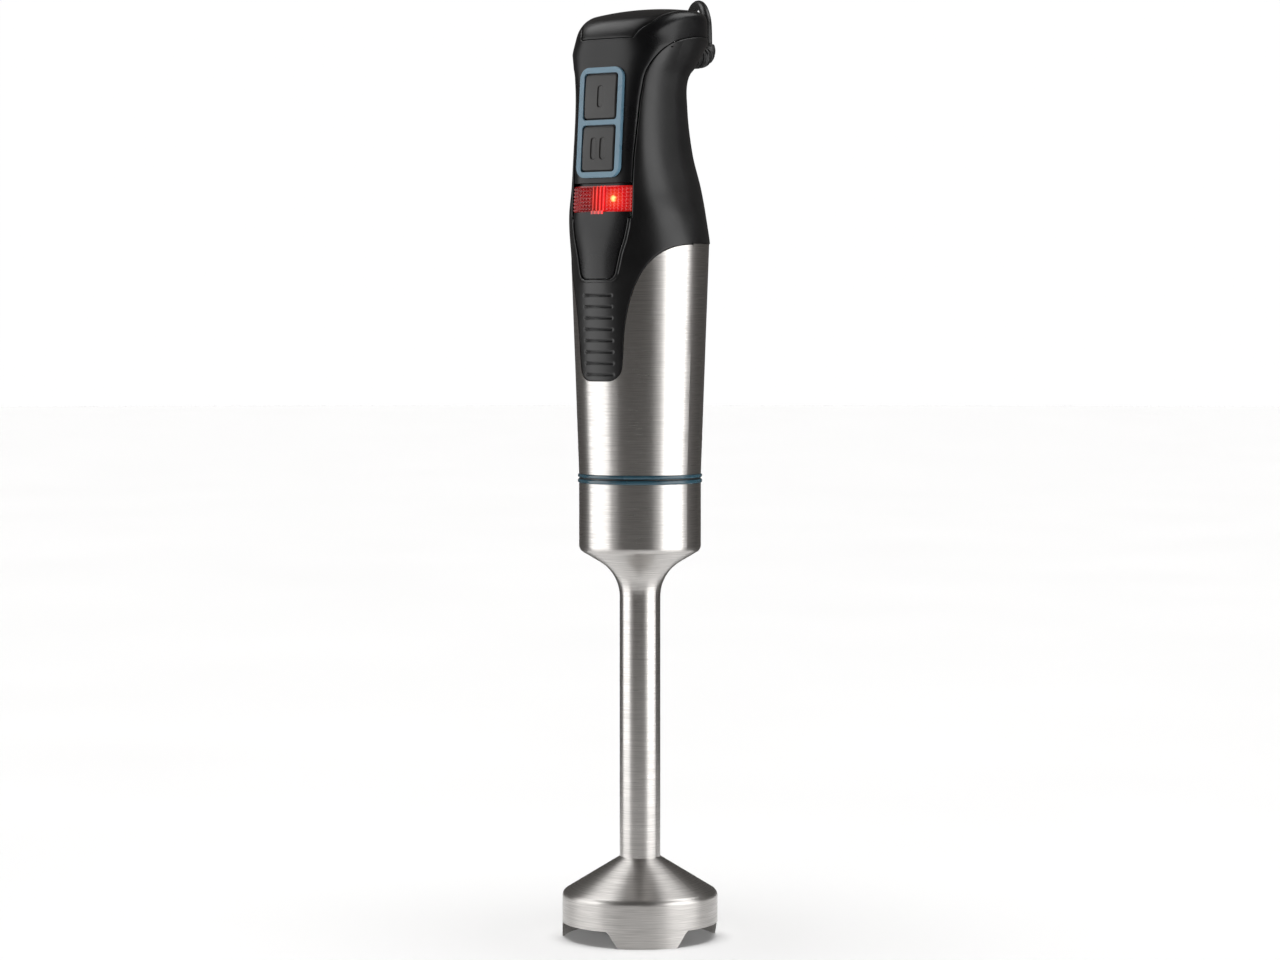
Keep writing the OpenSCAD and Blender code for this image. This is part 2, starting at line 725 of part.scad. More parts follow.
// Band that holds the coil, at one side of it
tie_turn = 90;
tie_w = 6;
tie_t = 0.6;
tie_room = 0.4;
module tie_block(grow, z0, z1) {
    r = cord_d / 2 + tie_room + grow;
    rotate([0, 0, store_turn]) translate([coil_mid, 0, 0]) rotate([0, 0, tie_turn])
        translate([coil_inner - r, -tie_w / 2, z0]) cube([coil_outer - coil_inner + 2 * r, tie_w, z1 - z0]);
}
coil_top = layer_z[1] + cord_d / 2;
module cord_tie() {
    color(rubber_black) difference() {
        tie_block(tie_t, 0, coil_top + tie_t);
        tie_block(0.02, tie_t, coil_top + 0.02);
    }
}
module cord_coil() {
    r = cord_d / 2;
    color(black) difference() {
        rotate([0, 0, store_turn]) translate([coil_mid, 0, 0]) rotate_extrude()
            translate([coil_inner - r, 0]) square([coil_outer - coil_inner + 2 * r, coil_top]);
        tie_block(1, -1, tie_t);
    }
}

// Two-blade plug that nests in the coil's middle, its blades resting on the coil's near side
plug_turn = 6;
plug_len = 22;
plug_w = 20;
plug_h = 12.4;
plug_corner = 4;
blade_out = 16;
pin_w = 6.35;
pin_t = 1.5;
pin_x = 6.35;
plug_z = coil_top + 0.05 + pin_w / 2;
module on_plug() {
    rotate([0, 0, store_turn]) translate([coil_mid, 0, plug_z]) rotate([0, 0, plug_turn])
        translate([plug_len / 2, 0, 0]) rotate([0, -90, 0]) children();
}
module plug_body() {
    color(black) on_plug() {
        difference() {
            linear_extrude(plug_len) offset(r = plug_corner)
                square([plug_h - 2 * plug_corner, plug_w - 2 * plug_corner], center = true);
            for (side = [-1, 1]) translate([-pin_w / 2 - 0.1, side * pin_x - pin_t / 2 - 0.1, plug_len - 5])
                cube([pin_w + 0.2, pin_t + 0.2, 6]);
        }
        translate([0, 0, -3.4]) cylinder(r1 = 3, r2 = 3.1, h = 3.45);
    }
}
module plug_blades() {
    color(brass) on_plug() for (side = [-1, 1])
        translate([-pin_w / 2, side * pin_x - pin_t / 2, plug_len - 4.9])
            cube([pin_w, pin_t, blade_out + 4.9]);
}

// The cord leaves the coil's bottom layer straight, and rises round one wide bend to the plug
bend_r = 16;
bend_steps = 11;
bend_end = 16.4;
tail_end = 13.5;
bend_mid = turned(plug_turn, bend_end) - turned(plug_turn + 90, bend_r);
bend_to = plug_turn + 90;
bend_from = atan2(bend_mid[1], bend_mid[0]) - acos((coil_outer - bend_r) / norm(bend_mid));
leaves = turned(bend_from, coil_outer);
joins = bend_mid + turned(bend_from, bend_r);
function bend_point(t) = bend_mid + turned(bend_from + (bend_to - bend_from) * t, bend_r);
function rise(i) = let(t = max(i - 1, 0) / (bend_steps - 1)) t * t * (3 - 2 * t);
tail_route = [
    for (i = [0:2]) by_coil(leaves + (joins - leaves) * i / 3, layer_z[0]),
    for (i = [0:bend_steps])
        by_coil(bend_point(i / bend_steps), layer_z[0] + (plug_z - layer_z[0]) * rise(i)),
    by_coil(turned(plug_turn, tail_end), plug_z)
];
module cord_tail() {
    color(black) tube(smooth(tail_route, 2), cord_d / 2, 8);
}

// Inside the handle: the clamp on the cord and its two screws
clamp_x = 6;
clamp_y = 7.7;
module cord_clamp() {
    color(white_plastic) difference() {
        translate([-9, clamp_y - 3.7, 361]) cube([18, 7.4, 3.4]);
        for (side = [-1, 1]) translate([side * clamp_x, clamp_y, 350]) cylinder(r = 1.25, h = 30, $fn = 24);
    }
}
module clamp_screws() {
    color(steel) for (side = [-1, 1]) translate([side * clamp_x, clamp_y, 355]) {
        cylinder(r = 1.2, h = 9.5, $fn = 24);
        translate([0, 0, 9.45]) cylinder(r = 2.3, h = 1.5, $fn = 24);
    }
}

blade_guard();
shaft_tube();
shaft_ring();
shaft_collar();
upper_bush();
lower_bush();
shaft_seal();
coupling_seal();
motor_housing();
housing_ring();
coupling_spigot();
handle_grip();
front_shell();
top_cap();
button_bezel();
indicator_lens();
indicator_leds();
switch_board();
microswitches();
strain_relief();
cord_clamp();
clamp_screws();
stator_core();
field_coils();
lower_bracket();
upper_bracket();
motor_screws();
brush_holders();
brushes();
lower_bearing();
upper_bearing();
motor_mounts();
speed_button();
turbo_button();
motor_shaft();
armature_core();
armature_windings();
commutator();
cooling_fan();
drive_coupling();
drive_shaft();
driven_coupling();
thrust_washer();
blade();
blade_hub();
power_cord();
cord_tail();
cord_coil();
cord_tie();
plug_body();
plug_blades();
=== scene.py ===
"""Immersion blender: looks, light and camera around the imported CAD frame.

Shapes are worked out in millimetres, in the frame's own axes, and become metres in add_mesh and make_cord.
Cameras, lights and the stage are placed in metres.
"""

import json
import math

import bpy
import numpy as np
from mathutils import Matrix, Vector

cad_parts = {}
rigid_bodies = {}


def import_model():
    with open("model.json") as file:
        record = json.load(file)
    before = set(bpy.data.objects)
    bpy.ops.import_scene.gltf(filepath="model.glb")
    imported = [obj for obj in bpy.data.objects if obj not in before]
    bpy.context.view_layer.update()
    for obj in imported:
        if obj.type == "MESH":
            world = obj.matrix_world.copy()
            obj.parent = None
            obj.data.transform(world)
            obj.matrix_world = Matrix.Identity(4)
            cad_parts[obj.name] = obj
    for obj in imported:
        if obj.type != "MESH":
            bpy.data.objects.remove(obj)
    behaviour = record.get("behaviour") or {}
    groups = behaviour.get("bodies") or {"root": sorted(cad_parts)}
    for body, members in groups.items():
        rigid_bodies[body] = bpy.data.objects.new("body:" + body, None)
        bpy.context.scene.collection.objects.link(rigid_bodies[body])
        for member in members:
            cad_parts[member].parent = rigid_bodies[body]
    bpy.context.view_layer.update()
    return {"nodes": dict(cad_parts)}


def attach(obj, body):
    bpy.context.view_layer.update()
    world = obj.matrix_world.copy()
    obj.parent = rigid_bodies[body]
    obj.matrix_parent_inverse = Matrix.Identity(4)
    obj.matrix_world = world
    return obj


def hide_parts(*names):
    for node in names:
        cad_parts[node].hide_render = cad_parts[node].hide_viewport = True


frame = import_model()
MM = 0.001
SCENE = bpy.context.scene


# ---- Camera and floor ---------------------------------------------------------------------------

VIEW_TURN = math.radians(40)
CAMERA_AWAY = 1.5
CAMERA_UP = 0.26
LOOK_AT_Z = 0.1916
FOCAL_MM = 101.25
SENSOR_MM = 36.0


def make_camera():
    data = bpy.data.cameras.new("camera")
    data.lens = FOCAL_MM
    data.sensor_width = SENSOR_MM
    camera = bpy.data.objects.new("camera", data)
    SCENE.collection.objects.link(camera)
    camera.location = (
        CAMERA_AWAY * math.sin(VIEW_TURN),
        -CAMERA_AWAY * math.cos(VIEW_TURN),
        CAMERA_UP,
    )
    aim = Vector((0, 0, LOOK_AT_Z)) - camera.location
    camera.rotation_mode = "QUATERNION"
    camera.rotation_quaternion = aim.to_track_quat("-Z", "Y")
    SCENE.camera = camera


# ---- Curves that the CAD model uses too ---------------------------------------------------------


def through(table, z, column):
    """Cubic curve through a column of a table whose first column rises."""
    t = np.asarray(table, float)
    z = np.asarray(z, float)
    last = len(t) - 1
    i = np.clip(np.searchsorted(t[:, 0], z, side="right") - 1, 0, last - 1)
    lo = np.clip(np.arange(len(t)) - 1, 0, last)
    hi = np.clip(np.arange(len(t)) + 1, 0, last)
    slope = (t[hi, column] - t[lo, column]) / (t[hi, 0] - t[lo, 0])
    h = t[i + 1, 0] - t[i, 0]
    s = np.clip((z - t[i, 0]) / h, 0, 1)
    return (
        (2 * s**3 - 3 * s**2 + 1) * t[i, column]
        + (s**3 - 2 * s**2 + s) * h * slope[i]
        + (3 * s**2 - 2 * s**3) * t[i + 1, column]
        + (s**3 - s**2) * h * slope[i + 1]
    )


def smooth(points, steps):
    """Smooth line through the points, with so many steps between neighbours."""
    p = np.asarray(points, float)
    last = len(p) - 1
    k = np.arange(len(p))
    slope = (p[np.minimum(k + 1, last)] - p[np.maximum(k - 1, 0)]) / 2
    t = (np.arange(steps) / steps)[:, None]
    rows = [
        (2 * t**3 - 3 * t**2 + 1) * p[i]
        + (t**3 - 2 * t**2 + t) * slope[i]
        + (3 * t**2 - 2 * t**3) * p[i + 1]
        + (t**3 - t**2) * slope[i + 1]
        for i in range(last)
    ]
    return np.vstack([*rows, p[-1:]])


def soft_step(x, low, high):
    """Zero below low, one above high, and a smooth rise between them."""
    t = np.clip((x - low) / (high - low), 0, 1)
    return t * t * (3 - 2 * t)


def arc(cx, cy, r, a0, a1, n):
    a = np.radians(np.linspace(a0, a1, n + 1))
    return np.column_stack([cx + r * np.cos(a), cy + r * np.sin(a)])


def bezier(p, n):
    p = np.asarray(p, float)
    t = np.linspace(0, 1, n + 1)[:, None]
    return (1 - t) ** 3 * p[0] + 3 * t * (1 - t) ** 2 * p[1] + 3 * t**2 * (1 - t) * p[2] + t**3 * p[3]


def mirrored(p):
    p = np.asarray(p, float)
    return np.vstack([p, p[::-1] * [-1, 1]])


def inside_distance(q, outline):
    """Distance of 2-D points from a closed outline, positive inside it."""
    q = np.asarray(q, float)
    a = np.asarray(outline, float)
    b = np.roll(a, -1, axis=0)
    far = np.full(len(q), 1e9)
    crossings = np.zeros(len(q), bool)
    for p0, p1 in zip(a, b, strict=True):
        d = p1 - p0
        if d @ d < 1e-12:
            continue
        t = np.clip((q - p0) @ d / (d @ d), 0, 1)
        far = np.minimum(far, np.linalg.norm(q - p0 - t[:, None] * d, axis=1))
        if abs(d[1]) > 1e-12:
            straddles = (p0[1] > q[:, 1]) != (p1[1] > q[:, 1])
            crossings ^= straddles & (q[:, 0] < p0[0] + (q[:, 1] - p0[1]) * d[0] / d[1])
    return np.where(crossings, far, -far)


def unit(v):
    return v / np.maximum(np.linalg.norm(v, axis=-1, keepdims=True), 1e-12)


# ---- Meshes -------------------------------------------------------------------------------------


def add_mesh(name, points_mm, faces, material, body, edge_angle=35):
    mesh = bpy.data.meshes.new(name)
    mesh.from_pydata((np.asarray(points_mm, float) * MM).tolist(), [], faces)
    mesh.validate()
    mesh.update()
    mesh.materials.append(material)
    obj = bpy.data.objects.new(name, mesh)
    SCENE.collection.objects.link(obj)
    smooth_by_angle(mesh, edge_angle)
    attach(obj, body)
    return obj


def smooth_by_angle(mesh, degrees):
    mesh.polygons.foreach_set("use_smooth", [True] * len(mesh.polygons))
    mesh.set_sharp_from_angle(angle=math.radians(degrees))


def apply_modifiers(obj):
    bpy.context.view_layer.objects.active = obj
    for modifier in list(obj.modifiers):
        with bpy.context.temp_override(object=obj, active_object=obj):
            bpy.ops.object.modifier_apply(modifier=modifier.name)


def grid_faces(rows, columns):
    """Quads of a grid whose points are listed row by row."""
    return [
        (i * columns + k, i * columns + k + 1, (i + 1) * columns + k + 1, (i + 1) * columns + k)
        for i in range(rows - 1)
        for k in range(columns - 1)
    ]


def ring_faces(rings, around, capped=True):
    """Quads between closed rings of points, with a face over each end if capped."""
    faces = []
    for i in range(rings - 1):
        low, high = i * around, (i + 1) * around
        for k in range(around):
            j = (k + 1) % around
            faces.append((low + k, low + j, high + j, high + k))
    if capped:
        faces.append(tuple(range(around))[::-1])
        faces.append(tuple((rings - 1) * around + k for k in range(around)))
    return faces


def split(points, faces, distance, level):
    """Cuts the faces along the line where distance(points) passes level."""
    points = np.asarray(points, float)
    v = distance(points) - level
    v[np.abs(v) < 1e-4] = 0
    extra, made, out = [], {}, []

    def cut(a, b):
        key = (a, b) if a < b else (b, a)
        if key not in made:
            t = v[a] / (v[a] - v[b])
            made[key] = len(points) + len(extra)
            extra.append(points[a] + t * (points[b] - points[a]))
        return made[key]

    for f in faces:
        signs = [v[i] for i in f]
        if min(signs) >= 0 or max(signs) <= 0:
            out.append(tuple(f))
            continue
        sides = ([], [])
        for a, b in zip(f, (*f[1:], f[0]), strict=True):
            if v[a] >= 0:
                sides[0].append(a)
            if v[a] <= 0:
                sides[1].append(a)
            if v[a] * v[b] < 0:
                c = cut(a, b)
                sides[0].append(c)
                sides[1].append(c)
        out += [tuple(s) for s in sides if len(s) > 2]
    if extra:
        points = np.vstack([points, extra])
    return points, out


def keep(points, faces, distance, level):
    """The faces whose middle lies past level, with unused points dropped."""
    v = distance(points)
    kept = [f for f in faces if sum(v[i] for i in f) / len(f) > level]
    used = sorted({i for f in kept for i in f})
    index = {old: new for new, old in enumerate(used)}
    return points[used], [tuple(index[i] for i in f) for f in kept]


def point_normals(points, faces):
    n = np.zeros_like(points)
    for f in faces:
        p = points[list(f)]
        area = np.zeros(3)
        for k in range(1, len(f) - 1):
            area += np.cross(p[k] - p[0], p[k + 1] - p[0])
        for i in f:
            n[i] += area
    return unit(n)


ROLL_STEPS = (0.0, 0.12, 0.3, 0.55, 1.0)


def rolled_panel(points, faces, distance, gap, width, depth=None):
    """The part of a surface where distance is over gap, its edge rolled inward.

    Width and depth are numbers, or functions of the points."""
    size = width if callable(width) else lambda p: np.full(len(p), float(width))
    drop = depth or size
    for step in ROLL_STEPS:
        points, faces = split(points, faces, lambda p, k=step: distance(p) - gap - k * size(p), 0.0)
    points, faces = keep(points, faces, distance, gap)
    normals = point_normals(points, faces)
    share = np.clip((distance(points) - gap) / size(points), 0, 1)
    fall = drop(points) * (1 - np.sqrt(1 - (1 - share) ** 2))
    return points - normals * fall[:, None], faces


def thicken(obj, wall_mm):
    solid = obj.modifiers.new("wall", "SOLIDIFY")
    solid.thickness = wall_mm * MM
    solid.offset = -1
    solid.use_even_offset = False
    apply_modifiers(obj)
    smooth_by_angle(obj.data, 35)


def swept_tube(line_mm, radius_mm, around, side_hint):
    """Points and faces of a tube along a line; radius is one number or one per point."""
    p = np.asarray(line_mm, float)
    last = len(p) - 1
    k = np.arange(len(p))
    t = unit(p[np.minimum(k + 1, last)] - p[np.maximum(k - 1, 0)])
    u = unit(np.cross(t, side_hint))
    v = np.cross(t, u)
    r = np.broadcast_to(radius_mm, len(p))[:, None, None]
    a = 2 * np.pi * np.arange(around) / around
    ring = np.cos(a)[None, :, None] * u[:, None] + np.sin(a)[None, :, None] * v[:, None]
    return (p[:, None] + r * ring).reshape(-1, 3), ring_faces(len(p), around)


# ---- Materials ----------------------------------------------------------------------------------


class Finish:
    """One procedural material: a Principled shader with noise in its colour, roughness and bump."""

    def __init__(self, name, color, roughness, metallic=0.0, **sockets):
        self.material = bpy.data.materials.new(name)
        self.material.use_nodes = True
        self.tree = self.material.node_tree
        self.shader = self.tree.nodes["Principled BSDF"]
        self.color = (*color, 1.0)
        self.shader.inputs["Base Color"].default_value = self.color
        self.shader.inputs["Roughness"].default_value = roughness
        self.shader.inputs["Metallic"].default_value = metallic
        for socket, value in sockets.items():
            self.shader.inputs[socket.replace("_", " ")].default_value = value
        self.place = self.tree.nodes.new("ShaderNodeTexCoord").outputs["Object"]

    def node(self, kind, **settings):
        n = self.tree.nodes.new("ShaderNode" + kind)
        for key, value in settings.items():
            setattr(n, key, value)
        return n

    def link(self, a, b):
        self.tree.links.new(a, b)

    def noise(self, scale, detail=3.0, stretch=(1, 1, 1)):
        """Noise over the object's own metres; stretch multiplies each axis."""
        mapping = self.node("Mapping")
        mapping.inputs["Scale"].default_value = stretch
        self.link(self.place, mapping.inputs["Vector"])
        texture = self.node("TexNoise")
        texture.inputs["Scale"].default_value = scale
        texture.inputs["Detail"].default_value = detail
        self.link(mapping.outputs["Vector"], texture.inputs["Vector"])
        return texture.outputs["Fac"]

    def ranged(self, value, low, high, from_low=0.3, from_high=0.7):
        n = self.node("MapRange")
        n.inputs["From Min"].default_value = from_low
        n.inputs["From Max"].default_value = from_high
        n.inputs["To Min"].default_value = low
        n.inputs["To Max"].default_value = high
        self.link(value, n.inputs["Value"])
        return n.outputs["Result"]

    def vary_color(self, value, other):
        """Mixes the base colour towards another by a value."""
        mix = self.node("Mix", data_type="RGBA")
        mix.inputs["A"].default_value = self.color
        mix.inputs["B"].default_value = (*other, 1.0)
        self.link(self.ranged(value, 0.0, 1.0), mix.inputs["Factor"])
        self.link(mix.outputs["Result"], self.shader.inputs["Base Color"])

    def vary_roughness(self, value, low, high):
        self.link(self.ranged(value, low, high), self.shader.inputs["Roughness"])

    def bump(self, value, depth_mm, strength):
        n = self.node("Bump")
        n.inputs["Strength"].default_value = strength
        n.inputs["Distance"].default_value = depth_mm * MM
        self.link(value, n.inputs["Height"])
        self.link(n.outputs["Normal"], self.shader.inputs["Normal"])


def brushed_steel(name, color, roughness, lines, spread=0.06, depth_mm=0.01, anisotropic=0.0):
    """Steel brushed along a direction: the noise is stretched across the scratches."""
    f = Finish(name, color, roughness, metallic=1.0, Anisotropic=anisotropic, Anisotropic_Rotation=0.25)
    if anisotropic:
        tangent = f.node("Tangent", direction_type="RADIAL", axis="Z")
        f.link(tangent.outputs["Tangent"], f.shader.inputs["Tangent"])
    fine = f.noise(1.0, 4.0, lines)
    f.vary_roughness(fine, roughness - spread, roughness + spread)
    f.vary_color(fine, tuple(0.66 * c for c in color))
    f.bump(fine, depth_mm, 0.5)
    return f.material


def moulded(name, color, roughness, grain_mm=0.35, depth_mm=0.012, spread=0.06, tint=1.25, **sockets):
    """Moulded plastic or rubber with a fine spark-eroded grain."""
    f = Finish(name, color, roughness, **sockets)
    grain = f.noise(1000 / grain_mm, 2.0)
    cloud = f.noise(60, 3.0)
    f.vary_roughness(cloud, roughness - spread, roughness + spread)
    f.vary_color(cloud, tuple(min(1.0, tint * c) for c in color))
    f.bump(grain, depth_mm, 0.6)
    return f.material


# Where the painted lamp glow is centred on the lens, and how far the painted glow spreads
GLOW_PAINT_AT = (7.6, -25.5, 307.9)
GLOW_PAINT_REACH = 24
# Prisms of the lens: width, height up the lens, depth, and half width of the upright flutes in the middle
PRISM_W, PRISM_Z, PRISM_H, FLUTES_HALF = 1.9, 1.45, 0.42, 4.2


def lens_material():
    """Red prismatic plastic with a painted glow: emission centred on the lamp's place at the right of the
    middle, standing in for the lamp shining through from behind.
    """
    f = Finish("lens_red_plastic_painted_glow", (0.3, 0.004, 0.006), 0.12, IOR=1.5)
    cloud = f.noise(150, 3.0)
    f.vary_color(cloud, (0.16, 0.002, 0.003))
    f.vary_roughness(cloud, 0.08, 0.2)
    f.bump(f.noise(900, 2.0), 0.02, 0.4)
    # Painted glow: emission colour set by distance from the lamp's place, orange-white at the spot and
    # fading through red to dark.
    offset = f.node("VectorMath", operation="SUBTRACT")
    offset.inputs[1].default_value = [c * MM for c in GLOW_PAINT_AT]
    f.link(f.place, offset.inputs[0])
    length = f.node("VectorMath", operation="LENGTH")
    f.link(offset.outputs["Vector"], length.inputs[0])
    painted_glow_ramp = f.node("ValToRGB")
    stops = painted_glow_ramp.color_ramp.elements
    stops[0].position, stops[0].color = 0.0, (2.6, 2.0, 0.9, 1)
    stops[1].position, stops[1].color = 1.0, (0.03, 0.0, 0.0, 1)
    for position, color in (
        (0.04, (2.2, 1.2, 0.35, 1)),
        (0.07, (1.0, 0.07, 0.02, 1)),
        (0.2, (0.7, 0.006, 0.008, 1)),
        (0.42, (0.2, 0.012, 0.006, 1)),
        (0.6, (0.05, 0.001, 0.002, 1)),
    ):
        stops.new(position).color = color
    f.link(f.ranged(length.outputs["Value"], 0.0, 1.0, 0.0, GLOW_PAINT_REACH * MM), painted_glow_ramp.inputs["Fac"])
    f.link(painted_glow_ramp.outputs["Color"], f.shader.inputs["Emission Color"])
    # Painted highlight streaks: emission strength is raised in vertical bands over the upright flutes in
    # the middle. They stand in for reflections of a soft box.
    wave = f.node("TexWave", wave_type="BANDS", bands_direction="X")
    wave.inputs["Scale"].default_value = math.pi / (10 * PRISM_W * MM)
    f.link(f.place, wave.inputs["Vector"])
    side = f.node("SeparateXYZ")
    f.link(f.place, side.inputs[0])
    near_middle = f.node("Math", operation="ABSOLUTE")
    f.link(side.outputs["X"], near_middle.inputs[0])
    painted_streaks = f.node("Math", operation="MULTIPLY")
    f.link(f.ranged(wave.outputs["Fac"], 0.0, 1.0, 0.7, 1.0), painted_streaks.inputs[0])
    fluted = f.ranged(near_middle.outputs[0], 1.0, 0.0, FLUTES_HALF * 0.8 * MM, FLUTES_HALF * MM)
    f.link(fluted, painted_streaks.inputs[1])
    f.link(f.ranged(painted_streaks.outputs[0], 0.7, 4.5, 0.0, 1.0), f.shader.inputs["Emission Strength"])
    return f.material


STEEL = (0.62, 0.6, 0.58)
AROUND_LINES = (80, 80, 4600)
M = {
    "sleeve": brushed_steel("brushed_sleeve_steel", STEEL, 0.34, AROUND_LINES, 0.07, 0.003, 0.7),
    "shaft": brushed_steel("brushed_shaft_steel", STEEL, 0.34, AROUND_LINES, 0.07, 0.003, 0.7),
    "guard": brushed_steel("brushed_guard_steel", STEEL, 0.36, AROUND_LINES, 0.07, 0.003, 0.6),
    "knife": brushed_steel("ground_knife_steel", (0.68, 0.69, 0.7), 0.2, (3000, 200, 200)),
    "bright": brushed_steel("turned_steel", (0.6, 0.6, 0.61), 0.25, (40, 40, 3000)),
    "teal": moulded("teal_plastic", (0.018, 0.055, 0.078), 0.24, depth_mm=0.004, Coat_Weight=0.3),
    "grip": moulded(
        "soft_grip_plastic", (0.0035, 0.0035, 0.0038), 0.34, 0.25, 0.01, Specular_IOR_Level=0.42
    ),
    "front": moulded(
        "satin_shell_plastic", (0.0025, 0.0025, 0.003), 0.3, 0.3, 0.004, Specular_IOR_Level=0.3
    ),
    "cap": moulded("cap_plastic", (0.003, 0.003, 0.0034), 0.33, 0.3, 0.004, Specular_IOR_Level=0.32),
    "button": moulded("button_plastic", (0.013, 0.0125, 0.012), 0.38, 0.3, 0.008, Specular_IOR_Level=0.42),
    "bezel": moulded("bezel_plastic", (0.085, 0.165, 0.225), 0.3, 0.3, 0.004),
    "rubber": moulded("black_rubber", (0.005, 0.005, 0.0052), 0.42, 0.3, 0.012),
    "cord": moulded("cord_rubber", (0.004, 0.004, 0.0044), 0.38, 0.3, 0.008),
    "inner_black": moulded("inner_black_plastic", (0.02, 0.02, 0.02), 0.45),
    "pale": moulded("pale_plastic", (0.62, 0.61, 0.56), 0.4, spread=0.04, tint=1.04),
    "board": moulded("board_green", (0.02, 0.12, 0.05), 0.35),
    "brass": brushed_steel("brass", (0.72, 0.53, 0.25), 0.3, (200, 200, 900)),
    "copper": brushed_steel("copper_wire", (0.62, 0.27, 0.13), 0.35, (300, 300, 2500), depth_mm=0.05),
    "lamination": brushed_steel("lamination_steel", (0.25, 0.25, 0.27), 0.4, (20, 20, 9000)),
    "carbon": moulded("carbon", (0.03, 0.03, 0.03), 0.6),
}
M["lens"] = lens_material()
M["lamp"] = moulded("lamp_resin", (0.6, 0.08, 0.06), 0.2)

# Pieces that the frame already holds: which finish each one gets, and how wide its bevel is
NODE_FINISH = {
    "shaft": ["shaft_tube"],
    "guard": ["blade_guard"],
    "sleeve": ["motor_housing"],
    "knife": ["blade"],
    "bright": [
        "drive_shaft", "blade_hub", "motor_shaft", "motor_screws", "clamp_screws", "lower_bearing",
        "upper_bearing",
    ],
    "teal": ["shaft_ring", "housing_ring"],
    "bezel": ["button_bezel"],
    "rubber": ["shaft_seal", "coupling_seal", "motor_mounts", "cord_tie", "plug_body"],
    "lamp": ["indicator_leds"],
    "inner_black": ["coupling_spigot", "shaft_collar", "microswitches"],
    "pale": [
        "drive_coupling", "driven_coupling", "lower_bracket", "upper_bracket", "cooling_fan", "cord_clamp",
    ],
    "board": ["switch_board"],
    "brass": ["upper_bush", "lower_bush", "thrust_washer", "brush_holders", "plug_blades"],
    "copper": ["field_coils", "armature_windings", "commutator"],
    "lamination": ["stator_core", "armature_core"],
    "carbon": ["brushes"],
}
NODE_BEVEL_MM = {
    "button_bezel": 0.45, "blade": 0.12, "blade_hub": 0.4,
    "plug_blades": 0.2, "plug_body": 1.2, "cord_tie": 0.2, "motor_housing": 0.12, "blade_guard": 0.15,
}


def finish_cad_nodes():
    for finish, nodes in NODE_FINISH.items():
        for name in nodes:
            obj = frame["nodes"][name]
            obj.data.materials.clear()
            obj.data.materials.append(M[finish])
            smooth_by_angle(obj.data, 30)
    for name, width in NODE_BEVEL_MM.items():
        bevel = frame["nodes"][name].modifiers.new("edge", "BEVEL")
        bevel.width = width * MM
        bevel.segments = 3
        bevel.limit_method = "ANGLE"
        bevel.angle_limit = math.radians(40)
        bevel.harden_normals = False


# ---- The handle's body form, as in the CAD model ------------------------------------------------

# Outer radius of the motor sleeve: height, radius
SLEEVE = [[194, 25.4], [227, 26.55], [263, 27.85], [290, 28.8]]


def sleeve_row(z):
    r = float(through(SLEEVE, z, 1))
    return [z, r, -r, r, 2]


# Sections of the handle: height, back, front, half width, squareness of the front
SECTIONS = [
    sleeve_row(231),
    sleeve_row(263),
    sleeve_row(285),
    [301, 26.7, -27.6, 26.8, 2.6],
    [313, 26.3, -26.8, 23.4, 3.2],
    [327, 22.1, -25.8, 21.2, 3.8],
    [346, 18.5, -24.4, 20.5, 4],
    [359, 18.2, -23.5, 21.8, 4],
    [368, 27.5, -22.9, 25.6, 3.6],
    [376.5, 29.1, -22, 24.6, 3.2],
    [389, 27.5, -21, 25.2, 3],
]
BACK_SQUARENESS = 2.2
CREST_Z, CREST_Y, CREST_BEND, CREST_CROWN = 387.2, 7.5, 104, 320
CREST_ROUND, ROUND_TILT, DOME_MID_Z = 4, 2.4, 376
CAP_SEAM_Z = 373.6
LENS_Z0, LENS_Z1, LENS_GAP = 302.6, 313.2, 1.1
CHIN_Z0, CHIN_HALF, CHIN_CORNER, SLEEVE_TOP = 233, 11.7, 6.5, 289.6
FRONT_SEAM_Z = 300
FAR = 60


def signed_pow(v, e):
    return np.sign(v) * np.abs(v) ** e


def section_points(z, angles, inset):
    yb = through(SECTIONS, z, 1) - inset
    yf = through(SECTIONS, z, 2) + inset
    half = through(SECTIONS, z, 3) - inset
    e = 2 / np.where(np.sin(angles) < 0, through(SECTIONS, z, 4), BACK_SQUARENESS)
    x = half * signed_pow(np.cos(angles), e)
    y = (yb + yf) / 2 + (yb - yf) / 2 * signed_pow(np.sin(angles), e)
    return x, y


def top_z(x, y):
    return CREST_Z - (y - CREST_Y) ** 2 / CREST_BEND - x**2 / CREST_CROWN


def dome_ring(angles, h):
    """Ring of the rounded top, where the crest's surface is h above it."""
    x, y = section_points(np.full_like(angles, DOME_MID_Z), angles, 0)
    guess = top_z(x, y) - h
    r = CREST_ROUND - ROUND_TILT * np.sin(angles)
    round_in = np.where(h < r, r - np.sqrt(np.maximum(r * r - (r - h) ** 2, 0)), 0)
    x, y = section_points(guess, angles, round_in)
    return np.column_stack([x, y, top_z(x, y) - h])


BODY_AROUND = 208
DOME_START_Z = 362
DOME_STEPS = (
    11.5, 10.5, 9.5, 8.5, 7.5, 6.5, 5.6, 4.8, 4, 3.3, 2.7, 2.1, 1.6, 1.15, 0.8, 0.5, 0.28, 0.12, 0.03, 0,
)
CREST_SHARES = (0.94, 0.86, 0.77, 0.68, 0.59, 0.5, 0.41, 0.32, 0.23, 0.15, 0.07)
CREST_MIDDLE = (0, 4)


